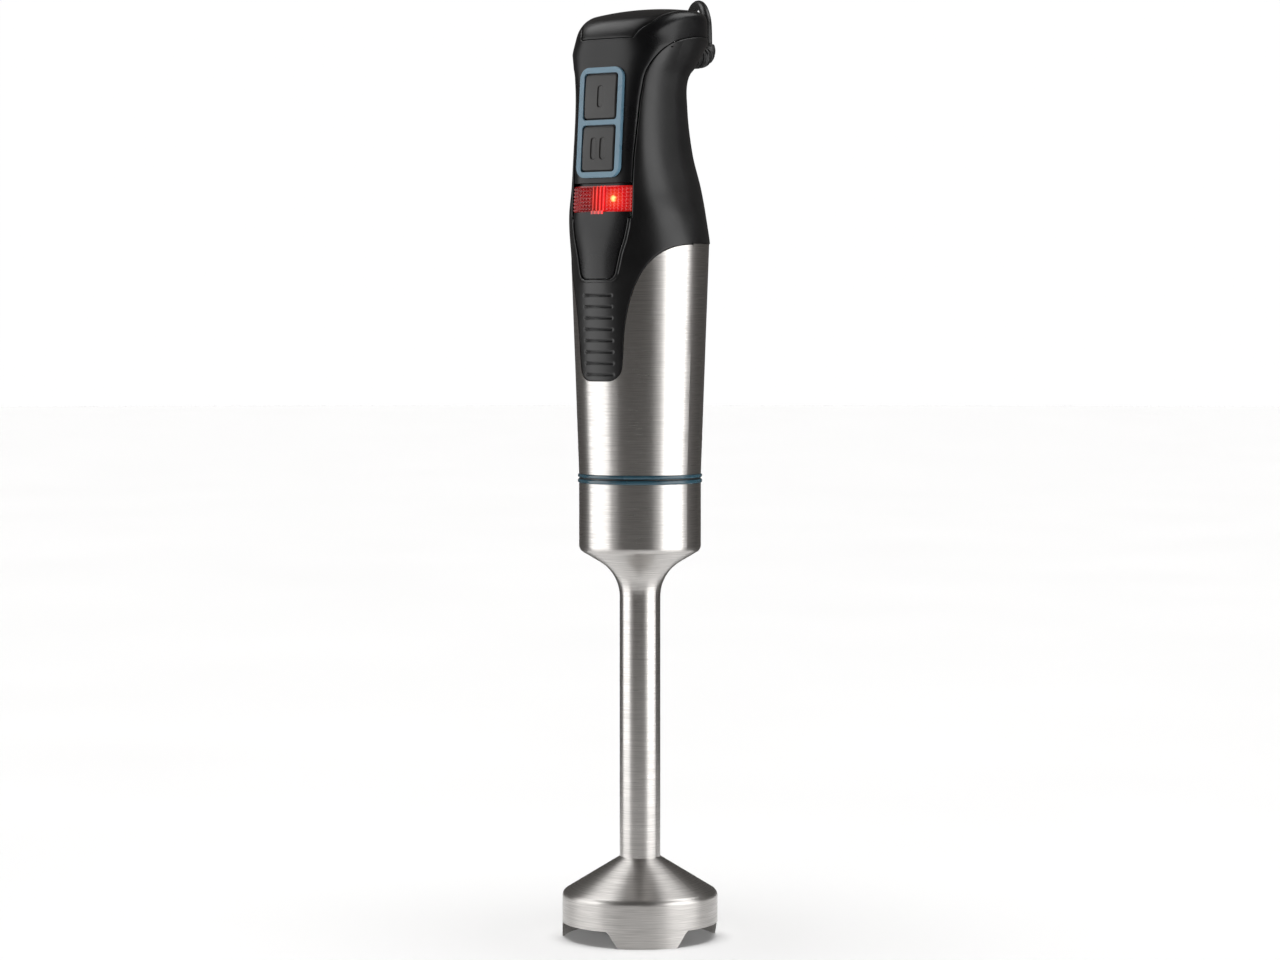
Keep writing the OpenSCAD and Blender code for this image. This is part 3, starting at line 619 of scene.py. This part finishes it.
def body_surface(z_values):
    """Points and faces of the handle's outer form, from the first height up and over the crest."""
    angles = 2 * np.pi * (np.arange(BODY_AROUND) + 0.5) / BODY_AROUND
    rings = []
    for z in z_values:
        x, y = section_points(np.full_like(angles, z), angles, 0)
        rings.append(np.column_stack([x, y, np.full_like(x, z)]))
    for h in DOME_STEPS:
        rings.append(dome_ring(angles, h))
    edge = dome_ring(angles, 0)
    middle = np.array(CREST_MIDDLE)
    for share in CREST_SHARES:
        xy = middle + share * (edge[:, :2] - middle)
        rings.append(np.column_stack([xy, top_z(xy[:, 0], xy[:, 1])]))
    points = np.vstack([*rings, [[*CREST_MIDDLE, top_z(*CREST_MIDDLE)]]])
    faces = ring_faces(len(rings), BODY_AROUND, capped=False)
    centre = len(points) - 1
    last = centre - BODY_AROUND
    faces += [(last + k, last + (k + 1) % BODY_AROUND, centre) for k in range(BODY_AROUND)]
    return points, faces


SEAM_POINTS = [
    [-25, 288], [-24.6, 302], [-23.9, 315], [-23.2, 325], [-22.4, 332], [-21.3, 341], [-20.6, 348],
    [-19.9, 353], [-19.2, 359], [-17.4, 364], [-13.5, 368.6], [-6.6, 372.2], [5, 374.6],
    [19.5, 375.4], [38, 375.4],
]
SEAM_OUTLINE = np.vstack([smooth(SEAM_POINTS, 4), [[38, 420], [-FAR, 420], [-FAR, 288]]])
TONGUE_OUTLINE = mirrored(np.vstack([
    arc(6, 278.2, 3.2, -90, -12, 12), [[11.1, 286], [12.9, 291.5], [14.1, 297], [14.5, 302]],
]))
CHIN_OUTLINE = mirrored(np.vstack([
    [[0, CHIN_Z0]],
    arc(CHIN_HALF - 0.5 - CHIN_CORNER, CHIN_Z0 + CHIN_CORNER, CHIN_CORNER, -90, 0, 12),
    bezier([[CHIN_HALF, 244], [12.2, 262], [17.5, 284], [29.5, SLEEVE_TOP]], 28),
    [[FAR, SLEEVE_TOP], [FAR, 420]],
]))
CAP_OUTLINE = mirrored([[14, -FAR], [14, -20.8], [19.2, -14], [20.8, -4], [20.8, 8], [15, 20.5]])


def above_sleeve(p):
    """Distance past the steel sleeve's scalloped edge."""
    front = inside_distance(p[:, [0, 2]], CHIN_OUTLINE)
    return np.where(p[:, 1] < 0, front, p[:, 2] - SLEEVE_TOP)


def before_seam(p):
    """Distance in front of the seam between the front shell and the grip."""
    side = np.minimum(inside_distance(p[:, [1, 2]], SEAM_OUTLINE), p[:, 2] - FRONT_SEAM_Z)
    tongue = np.where(p[:, 1] < 0, inside_distance(p[:, [0, 2]], TONGUE_OUTLINE), -FAR)
    return np.maximum(side, tongue)


def under_cap(p):
    """Distance inside the part of the crest that the top cap fills."""
    return np.minimum(inside_distance(p[:, :2], CAP_OUTLINE), p[:, 2] - CAP_SEAM_Z)


# Grooves of the ribbed chin
RIB_ZS = [268.4 - 4.65 * i for i in range(8)]
RIB_HALF_X, RIB_HALF_Z, RIB_DEPTH = 7.7, 0.5, 0.55


def levels(z0, z1, step, extra=()):
    """Heights from z0 to z1 with a few extra ones; neighbours stay apart."""
    z = sorted([*np.linspace(z0, z1, round((z1 - z0) / step) + 1), *extra])
    kept = [z[0]]
    for value in z[1:]:
        if value - kept[-1] > 0.12:
            kept.append(value)
    return kept


RIB_OFFSETS = (-1.25, -0.95, -0.65, -0.3, 0, 0.3, 0.65, 0.95, 1.25)


def rib_levels():
    return [z + d for z in RIB_ZS for d in RIB_OFFSETS]


def press_ribs(points):
    """Pushes the chin's grooves into its surface."""
    depth = np.zeros(len(points))
    across = 1 - soft_step(np.abs(points[:, 0]), RIB_HALF_X - 0.5, RIB_HALF_X + 0.3)
    for z in RIB_ZS:
        groove = 1 - soft_step(np.abs(points[:, 2] - z), RIB_HALF_Z - 0.5, RIB_HALF_Z + 0.35)
        depth = np.maximum(depth, groove)
    depth *= across * (points[:, 1] < 0) * RIB_DEPTH
    out = unit(points * [1, 1, 0])
    return points - out * depth[:, None]


# Wall of the shells, and the lip on the grip round the tongue
WALL_MM = 1.6
LIP_W, LIP_H = 1.5, 0.5


def tongue_distance(p):
    """Distance outside the front shell's tongue, far away elsewhere."""
    outside = -inside_distance(p[:, [0, 2]], TONGUE_OUTLINE)
    return np.where((p[:, 1] < 0) & (p[:, 2] < FRONT_SEAM_Z + 1.5), outside, FAR)


def raise_lip(points, faces):
    """A rounded lip on the grip round the tongue."""
    for share in (0.2, 0.4, 0.6, 0.8, 1.0):
        points, faces = split(points, faces, tongue_distance, share * LIP_W)
    t = np.clip(tongue_distance(points) / LIP_W, 0, 1)
    fade = 1 - soft_step(points[:, 2], FRONT_SEAM_Z - 3, FRONT_SEAM_Z + 1.5)
    height = LIP_H * np.sqrt(np.maximum(4 * t * (1 - t), 0)) * fade
    return points + unit(points * [1, 1, 0]) * height[:, None], faces


def make_grip():
    points, faces = body_surface(levels(231, DOME_START_Z, 1.6, rib_levels()))
    for x in (RIB_HALF_X - 0.5, RIB_HALF_X - 0.1, RIB_HALF_X + 0.3):
        points, faces = split(points, faces, lambda p: np.where(p[:, 1] < 0, np.abs(p[:, 0]), FAR), x)
    points, faces = rolled_panel(points, faces, lambda p: -before_seam(p), 0.08, 0.45)
    points, faces = rolled_panel(points, faces, above_sleeve, 0.1, 0.5)
    points, faces = raise_lip(points, faces)
    points = press_ribs(points)
    obj = add_mesh("grip_shell", points, faces, M["grip"], "motor_unit")
    thicken(obj, WALL_MM)
    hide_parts("handle_grip")


def side_bevel(p):
    """How wide the front shell's edge is bevelled: widest beside the buttons."""
    high = 1 - soft_step(p[:, 2], 352, 368)
    return 0.5 + 1.7 * high * soft_step(p[:, 2], 299, 303)


def make_front_shell():
    slot = (LENS_Z0, LENS_Z1 + LENS_GAP)
    extra = [z + d for z in slot for d in (-0.4, -0.15, 0, 0.15, 0.4)]
    points, faces = body_surface(levels(272, DOME_START_Z, 1.6, extra))
    points, faces = rolled_panel(
        points, faces, before_seam, 0.08, side_bevel, lambda p: 0.35 + 0.4 * (side_bevel(p) - 0.5)
    )
    points, faces = rolled_panel(points, faces, lambda p: -under_cap(p), 0.12, 0.4)
    inside = np.minimum(points[:, 2] - slot[0], slot[1] - points[:, 2])
    recess = soft_step(np.where(points[:, 1] < 0, inside, -FAR), -0.1, 0.15) * 2.0
    points = points - unit(points * [1, 1, 0]) * recess[:, None]
    obj = add_mesh("front_panel", points, faces, M["front"], "motor_unit")
    thicken(obj, WALL_MM)
    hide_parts("front_shell")


def make_cap():
    points, faces = body_surface(levels(350, DOME_START_Z, 2))
    points, faces = rolled_panel(
        points, faces, lambda p: np.minimum(under_cap(p), before_seam(p)), 0.12, 0.4
    )
    obj = add_mesh("crest_cap", points, faces, M["cap"], "motor_unit")
    thicken(obj, WALL_MM)
    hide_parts("top_cap")


# ---- Lens with its prisms -----------------------------------------------------------------------

LENS_HALF, LENS_INSET, LENS_WALL = 15.6, 0.55, 0.9
TAB_HALF, TAB_Z0 = 3.4, 301.7


def triangle(t):
    """Zigzag between 0 and 1 with a period of 1."""
    return 1 - np.abs(2 * (t - np.floor(t)) - 1)


def make_lens():
    zs = np.linspace(LENS_Z0, LENS_Z1, 74)
    xs = np.linspace(-LENS_HALF, LENS_HALF, 215)
    sweep = np.linspace(-np.pi * 0.98, -np.pi * 0.02, 1600)
    rows = []
    for z in zs:
        x, y = section_points(np.full_like(sweep, z), sweep, LENS_INSET)
        row_y = np.interp(xs, x, y)
        step = np.hypot(np.diff(xs), np.diff(row_y))
        travelled = np.concatenate([[0], np.cumsum(step)])
        travelled -= np.interp(0, xs, travelled)
        across = triangle(travelled / PRISM_W)
        along = triangle((z - LENS_Z0) / PRISM_Z)
        fluted = np.abs(xs) < FLUTES_HALF
        height = PRISM_H * np.where(fluted, across, np.minimum(across, along) * 1.5)
        edge = soft_step(np.minimum(z - LENS_Z0, LENS_Z1 - z), 0.1, 0.7)
        out = unit(np.column_stack([xs, row_y * 1.6]))
        xy = np.column_stack([xs, row_y]) - out * (PRISM_H - height * edge)[:, None]
        rows.append(np.column_stack([xy, np.full_like(xs, z)]))
    faces = grid_faces(len(zs), len(xs))
    obj = add_mesh("lens_prisms", np.vstack(rows), faces, M["lens"], "motor_unit", 20)
    thicken(obj, LENS_WALL)
    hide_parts("indicator_lens")
    make_lens_tab()


def make_lens_tab():
    xs = np.linspace(-TAB_HALF, TAB_HALF, 25)
    zs = np.linspace(TAB_Z0, LENS_Z0 + 0.4, 9)
    rows = []
    bulge = 0.16 * np.sqrt(np.maximum(1 - (xs / TAB_HALF) ** 2, 0))
    for z in zs:
        front = through(SECTIONS, z, 2)
        rows.append(np.column_stack([xs, front + 0.002 * xs**2 - bulge, np.full_like(xs, z)]))
    faces = grid_faces(len(zs), len(xs))
    obj = add_mesh("lens_tab", np.vstack(rows), faces, M["lens"], "motor_unit")
    thicken(obj, LENS_WALL)


# ---- Buttons ------------------------------------------------------------------------------------

PANEL_Z, PANEL_Y, PANEL_TILT = 339.1, -24.9, math.radians(4.1)
BUTTON_W, BUTTON_H, BUTTON_MID, BUTTON_OUT = 17.4, 18.55, 10.675, 1.5
BUTTON_CORNER, BUTTON_THICK, BUTTON_CELL = 1.4, 3.0, 0.6
MARK_HALF, MARK_R, MARK_X = 3.2, 1.35, 2.45


def rounded_rectangle(w, h, r):
    x, y = w / 2 - r, h / 2 - r
    corners = [(x, y, 0), (-x, y, 90), (-x, -y, 180), (x, -y, 270)]
    return np.vstack([arc(cx, cy, r, a, a + 90, 8) for cx, cy, a in corners])


def pill(x):
    """Outline of a raised mark's sunken bed, upright at x."""
    return np.vstack([arc(x, MARK_HALF, MARK_R, 0, 180, 12), arc(x, -MARK_HALF, MARK_R, 180, 360, 12)])


def cells(half):
    """Grid lines from just past one edge to just past the other."""
    return np.arange(-half - BUTTON_CELL, half + BUTTON_CELL + 0.01, BUTTON_CELL)


def make_button(name, node, middle, marks):
    outline = rounded_rectangle(BUTTON_W, BUTTON_H, BUTTON_CORNER)
    pills = [pill(x) for x in marks]
    xs, zs = cells(BUTTON_W / 2), cells(BUTTON_H / 2)
    gx, gz = np.meshgrid(xs, zs)
    points = np.column_stack([gx.ravel(), np.zeros(gx.size), gz.ravel()])
    faces = grid_faces(len(zs), len(xs))

    def in_pill(p):
        return np.max([inside_distance(p[:, [0, 2]], bed) for bed in pills], axis=0)

    for level in (-0.25, 0.0, 0.25, 0.5):
        points, faces = split(points, faces, in_pill, level)
    points, faces = rolled_panel(
        points, faces, lambda p: inside_distance(p[:, [0, 2]], outline), 0.0, 0.9
    )
    d = in_pill(points)
    rim = np.maximum(0, 1 - np.abs(d) / 0.3)
    crown = 0.35 * (points[:, 2] / (BUTTON_H / 2)) ** 2 + 0.2 * (points[:, 0] / (BUTTON_W / 2)) ** 2
    sunk = 0.42 * soft_step(d, -0.2, 0.3) - 0.05 * rim
    points[:, 1] += crown + sunk - BUTTON_OUT
    c, s = math.cos(PANEL_TILT), math.sin(PANEL_TILT)
    y, z = points[:, 1].copy(), points[:, 2] + middle
    points[:, 1] = PANEL_Y + c * y + s * z
    points[:, 2] = PANEL_Z - s * y + c * z
    obj = add_mesh(name, points, faces, M["button"], node)
    thicken(obj, BUTTON_THICK)
    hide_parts(node)


# ---- Cord ---------------------------------------------------------------------------------------

CORD_MM = 4.0
# The spare cord is coiled in two layers on the line that leaves the axis at this angle
STORE_TURN = 130
COIL_MID, COIL_OUTER, COIL_INNER = 62.3, 26.8, 17.2
COIL_TURNS, STEPS_PER_TURN = 5, 48
LAYER_SHARE = 0.47
LAYER_Z = (2.6, 6.6)
LANDING_TURN = 40
PLUG_TURN, PLUG_Z = 6, 11.825
BEND_R, BEND_STEPS, BEND_END, TAIL_END = 16, 11, 16.4, 13.5
SIDE_HINT = np.array([0.766, 0.643, 0.0])


def turned(degrees, r):
    a = math.radians(degrees)
    return r * np.array([math.cos(a), math.sin(a)])


def by_coil(p, z):
    """World place of a point given from the coil's middle, where x leads away from the blender."""
    c, s = turned(STORE_TURN, 1)
    x, y = COIL_MID + p[0], p[1]
    return [c * x - s * y, s * x + c * y, z]


CORD_ROUTE = [
    [0, 44.6, 375], [-2, 46.5, 385], [-7, 50, 391], [-13.5, 54.5, 393], [-20, 59, 391],
    [-25, 62.5, 385], [-27, 64, 377], [-29, 62.5, 363], [-30.5, 60.5, 350], [-34, 57, 325],
    [-39, 55, 290], [-44.5, 56, 245], [-49, 59, 200], [-53, 63, 150], [-57.5, 66.5, 100],
    [-61, 69.5, 62], [-61.5, 70.5, 44], [-62, 70.5, 34], [-62, 70.5, 24.5], [-62.5, 69.5, 19],
    [-63.5, 67, 14], [-64.5, 63, 10], [-65.5, 58, 7.5],
    by_coil(turned(LANDING_TURN, COIL_OUTER), LAYER_Z[1]),
]


def tail_route():
    """Straight off the coil's bottom layer, then round one wide bend that rises to the plug."""
    bend_to = PLUG_TURN + 90
    mid = turned(PLUG_TURN, BEND_END) - turned(bend_to, BEND_R)
    lean = math.acos((COIL_OUTER - BEND_R) / np.linalg.norm(mid))
    bend_from = math.degrees(math.atan2(mid[1], mid[0]) - lean)
    leaves = turned(bend_from, COIL_OUTER)
    joins = mid + turned(bend_from, BEND_R)
    points = [by_coil(leaves + (joins - leaves) * i / 3, LAYER_Z[0]) for i in range(3)]
    for i in range(BEND_STEPS + 1):
        a = bend_from + (bend_to - bend_from) * i / BEND_STEPS
        up = float(soft_step((i - 1) / (BEND_STEPS - 1), 0, 1))
        points.append(by_coil(mid + turned(a, BEND_R), LAYER_Z[0] + (PLUG_Z - LAYER_Z[0]) * up))
    return [*points, by_coil(turned(PLUG_TURN, TAIL_END), PLUG_Z)]


TAIL_ROUTE = tail_route()


def coil_points():
    """The coil's turns: in along the top layer, down at the middle, out along the bottom layer."""
    centre = turned(STORE_TURN, COIL_MID)
    start = CORD_ROUTE[-1][:2] - centre
    end = TAIL_ROUTE[0][:2] - centre
    a0 = math.atan2(start[1], start[0])
    a1 = math.atan2(end[1], end[0])
    span = (a1 - a0) % (2 * math.pi) + 2 * math.pi * (COIL_TURNS - 1)
    n = STEPS_PER_TURN * COIL_TURNS
    t = np.linspace(0, 1, n + 1)[1:-1]
    fall = soft_step(t, 0.46, 0.54)
    r = np.where(
        t < 0.5,
        COIL_OUTER + (COIL_INNER - COIL_OUTER) * np.minimum(t / LAYER_SHARE, 1),
        COIL_INNER + (COIL_OUTER - COIL_INNER) * np.maximum((t - 1 + LAYER_SHARE) / LAYER_SHARE, 0),
    )
    a = a0 + span * t
    z = LAYER_Z[1] + (LAYER_Z[0] - LAYER_Z[1]) * fall
    return np.column_stack([centre[0] + r * np.cos(a), centre[1] + r * np.sin(a), z])


def make_cord():
    line = np.vstack([smooth(CORD_ROUTE, 8), coil_points(), smooth(TAIL_ROUTE, 8)])
    curve = bpy.data.curves.new("flex", "CURVE")
    curve.dimensions = "3D"
    spline = curve.splines.new("POLY")
    spline.points.add(len(line) - 1)
    for point, p in zip(spline.points, line * MM, strict=True):
        point.co = (*p, 1)
    curve.bevel_depth = CORD_MM / 2 * MM
    curve.bevel_resolution = 5
    curve.use_fill_caps = True
    spline.use_smooth = True
    curve.materials.append(M["cord"])
    obj = bpy.data.objects.new("flex", curve)
    SCENE.collection.objects.link(obj)
    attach(obj, "motor_unit")
    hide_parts("power_cord", "cord_coil", "cord_tail")
    length = np.linalg.norm(np.diff(line, axis=0), axis=1).sum() * MM
    return obj, float(length)


# Centre line of the ribbed boot, and its radius at each point
BOOT_LINE = [
    [0, 17, 369], [0, 25, 369], [0, 31, 369], [0, 36, 369.1], [0, 40, 369.5], [0, 42.7, 370.7],
    [0, 44.2, 372.7], [0, 44.6, 375],
]
BOOT_RADII = [5.2, 5.2, 5.1, 4.9, 4.7, 4.3, 3.7, 2.9]
BOOT_STEPS = 14
BOOT_PITCH, BOOT_GROOVE = 3.1, 0.55


def make_boot():
    line = smooth(BOOT_LINE, BOOT_STEPS)
    radii = smooth([[r, 0] for r in BOOT_RADII], BOOT_STEPS)[:, 0]
    travelled = np.concatenate([[0], np.cumsum(np.linalg.norm(np.diff(line, axis=0), axis=1))])
    tip = travelled[-1]
    groove = soft_step(np.cos(2 * np.pi * travelled / BOOT_PITCH), 0.1, 0.75)
    ribbed = soft_step(travelled, 8, 9) * (1 - soft_step(travelled, tip - 4, tip - 3))
    radii = radii - BOOT_GROOVE * groove * ribbed
    points, faces = swept_tube(line, radii, 48, SIDE_HINT)
    obj = add_mesh("cord_boot", points, faces, M["rubber"], "motor_unit", 50)
    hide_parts("strain_relief")
    return obj


# ---- Light and floor ----------------------------------------------------------------------------

STAGE = bpy.data.collections.new("stage")
SCENE.collection.children.link(STAGE)
OBJECT_LIGHTS = []
FLOOR_LIGHTS = []
RING_STEPS = 96
# Radii of the near floor, the far floor and the backdrop, in metres
NEAR_FLOOR, FAR_FLOOR, WALL = 0.32, 14.0, 9.0
# Name, turn in degrees, distance, height, width and height of the box, radiance, height aimed at
SOFT_BOXES = (
    ("right_box", 66, 1.5, 0.1, 1.4, 2.2, 2.8, 0.1),
    ("left_box", -84, 1.5, 0.1, 1.4, 2.2, 2.3, 0.1),
    ("right_edge", 33, 1.5, 0.1, 0.34, 2.2, 0.5, 0.1),
    ("left_edge", -50, 1.5, 0.1, 0.34, 2.2, 0.4, 0.1),
    ("over_right", 110, 1.0, 1.6, 0.9, 0.9, 3.0, 0.2),
    ("over_left", -120, 1.0, 1.6, 0.9, 0.9, 3.0, 0.2),
)


def stage_mesh(name, points, faces, material):
    mesh = bpy.data.meshes.new(name)
    mesh.from_pydata(points, [], faces)
    mesh.materials.append(material)
    obj = bpy.data.objects.new(name, mesh)
    STAGE.objects.link(obj)
    return obj


def ring(radius, z):
    angles = [2 * math.pi * k / RING_STEPS for k in range(RING_STEPS)]
    return [(radius * math.cos(a), radius * math.sin(a), z) for a in angles]


def make_floor():
    """A pale floor. Past arm's length it and the backdrop show to the eye but not in reflections."""
    f = Finish("floor_paper", (0.9, 0.9, 0.9), 0.7)
    f.vary_roughness(f.noise(4), 0.65, 0.75)
    stage_mesh("floor_near", ring(NEAR_FLOOR, 0), [tuple(range(RING_STEPS))], f.material)
    band = ring_faces(2, RING_STEPS, capped=False)
    outer = stage_mesh("floor_far", ring(NEAR_FLOOR, 0) + ring(FAR_FLOOR, 0), band, f.material)
    outer.visible_glossy = False
    outer.visible_shadow = False
    paper = Finish("backdrop_paper", (0.0, 0.0, 0.0), 1.0)
    paper.shader.inputs["Emission Color"].default_value = (1, 1, 1, 1)
    paper.shader.inputs["Emission Strength"].default_value = 1.0
    paper.vary_roughness(paper.noise(2), 0.9, 1.0)
    backdrop = stage_mesh("backdrop", ring(WALL, -0.5) + ring(WALL, 8), band, paper.material)
    for kind in ("glossy", "diffuse", "transmission", "shadow"):
        setattr(backdrop, "visible_" + kind, False)


def aim(light, point):
    direction = Vector(point) - light.location
    light.rotation_mode = "QUATERNION"
    light.rotation_quaternion = direction.to_track_quat("-Z", "Y")


def soft_box(name, turn_deg, distance, height, width, tall, radiance, aim_z):
    """A soft box; turn is measured from the camera's direction, positive to the camera's right."""
    data = bpy.data.lights.new(name, "AREA")
    data.shape = "RECTANGLE"
    data.size = width
    data.size_y = tall
    data.energy = radiance * math.pi * width * tall
    light = bpy.data.objects.new(name, data)
    SCENE.collection.objects.link(light)
    a = VIEW_TURN + math.radians(turn_deg)
    light.location = (distance * math.sin(a), -distance * math.cos(a), height)
    aim(light, (0, 0, aim_z))
    OBJECT_LIGHTS.append(light)


def make_light():
    world = bpy.data.worlds.new("studio")
    SCENE.world = world
    world.use_nodes = True
    background = world.node_tree.nodes["Background"]
    background.inputs["Color"].default_value = (1.0, 0.95, 0.91, 1.0)
    background.inputs["Strength"].default_value = 0.09
    for box in SOFT_BOXES:
        soft_box(*box)
    for name, energy in (("floor_light", 2.35), ("floor_fill", 1.1)):
        data = bpy.data.lights.new(name, "SUN")
        data.energy = energy
        data.angle = math.radians(50)
        sun = bpy.data.objects.new(name, data)
        SCENE.collection.objects.link(sun)
        sun.location = (0, 0, 3)
        FLOOR_LIGHTS.append(sun)


def link_lights():
    """Soft boxes light the object and suns the floor; the second sun also reaches under the blade guard."""
    lit = bpy.data.collections.new("lit_object")
    for obj in SCENE.objects:
        if obj.type in {"MESH", "CURVE"} and obj.name not in STAGE.objects:
            lit.objects.link(obj)
    for light in OBJECT_LIGHTS:
        light.light_linking.receiver_collection = lit
    for light in FLOOR_LIGHTS:
        light.light_linking.receiver_collection = STAGE
    above_guard = bpy.data.collections.new("above_guard")
    for obj in lit.objects:
        if obj.name != frame["nodes"]["blade_guard"].name:
            above_guard.objects.link(obj)
    FLOOR_LIGHTS[1].light_linking.blocker_collection = above_guard


# ---- The scene ----------------------------------------------------------------------------------

make_camera()
cord_obj, cord_length = make_cord()
boot = make_boot()
finish_cad_nodes()
make_light()
make_floor()
SCENE.view_settings.view_transform = "Standard"

make_grip()
make_front_shell()
make_cap()
make_lens()
make_button("upper_button", "speed_button", BUTTON_MID, [0])
make_button("lower_button", "turbo_button", -BUTTON_MID, [-MARK_X, MARK_X])
link_lights()
